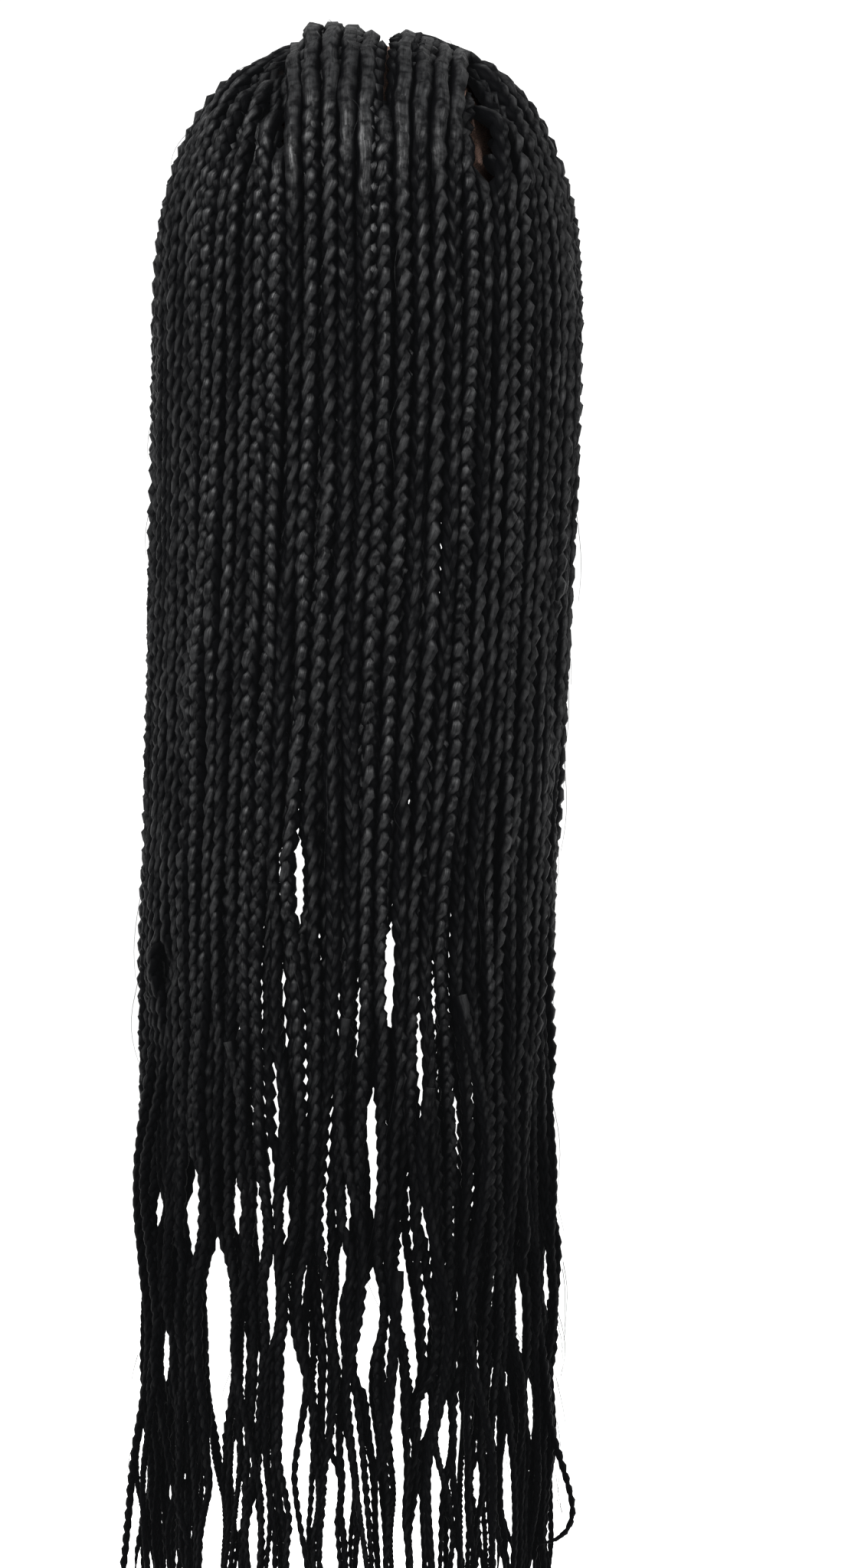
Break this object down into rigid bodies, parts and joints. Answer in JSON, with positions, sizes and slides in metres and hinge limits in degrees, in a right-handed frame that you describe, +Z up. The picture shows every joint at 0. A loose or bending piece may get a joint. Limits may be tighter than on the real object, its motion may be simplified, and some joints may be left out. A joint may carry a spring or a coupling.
{
  "type": "box braid wig",
  "caption": "Waist-length black box braid wig on a brown lace cap, parted near the middle, its braids hanging straight and thinning to the tips.",
  "frame": {"origin": "inside top of the cap, where it sits on the crown of a head", "axes": "+Z up, braids hang towards -Z; the back of the head faces -Y and the face opening faces +Y; +X is the wearer's right"},
  "size_m": [0.2288, 0.223, 0.841],
  "materials": {
    "lace": "matte",
    "hair": "satin"
  },
  "bodies": {
    "root": {"cap": "lace", "crown_braid_01": "hair", "crown_braid_02": "hair", "crown_braid_03": "hair", "crown_braid_04": "hair", "crown_braid_05": "hair", "crown_braid_06": "hair", "crown_braid_07": "hair", "crown_braid_08": "hair", "crown_braid_09": "hair", "crown_braid_10": "hair", "crown_braid_11": "hair", "crown_braid_12": "hair", "crown_braid_13": "hair", "crown_braid_14": "hair", "crown_braid_15": "hair", "crown_braid_16": "hair", "crown_braid_17": "hair", "crown_braid_18": "hair", "crown_braid_19": "hair", "crown_braid_20": "hair", "crown_braid_21": "hair", "crown_braid_22": "hair", "crown_braid_23": "hair", "crown_braid_24": "hair", "crown_braid_25": "hair", "crown_braid_26": "hair", "crown_braid_27": "hair", "crown_braid_28": "hair", "crown_braid_29": "hair", "crown_braid_30": "hair", "crown_braid_31": "hair", "crown_braid_32": "hair", "crown_braid_33": "hair", "crown_braid_34": "hair", "crown_braid_35": "hair", "crown_braid_36": "hair", "crown_braid_37": "hair", "crown_braid_38": "hair", "crown_braid_39": "hair", "crown_braid_40": "hair", "crown_braid_41": "hair", "crown_braid_42": "hair", "crown_braid_43": "hair", "crown_braid_44": "hair", "crown_braid_45": "hair", "crown_braid_46": "hair", "crown_braid_47": "hair", "crown_braid_48": "hair", "crown_braid_49": "hair", "crown_braid_50": "hair", "crown_braid_51": "hair", "crown_braid_52": "hair", "crown_braid_53": "hair", "crown_braid_54": "hair", "crown_braid_55": "hair", "under_row_back": "hair", "under_row_left": "hair", "under_row_right": "hair"}
  },
  "joints": []
}
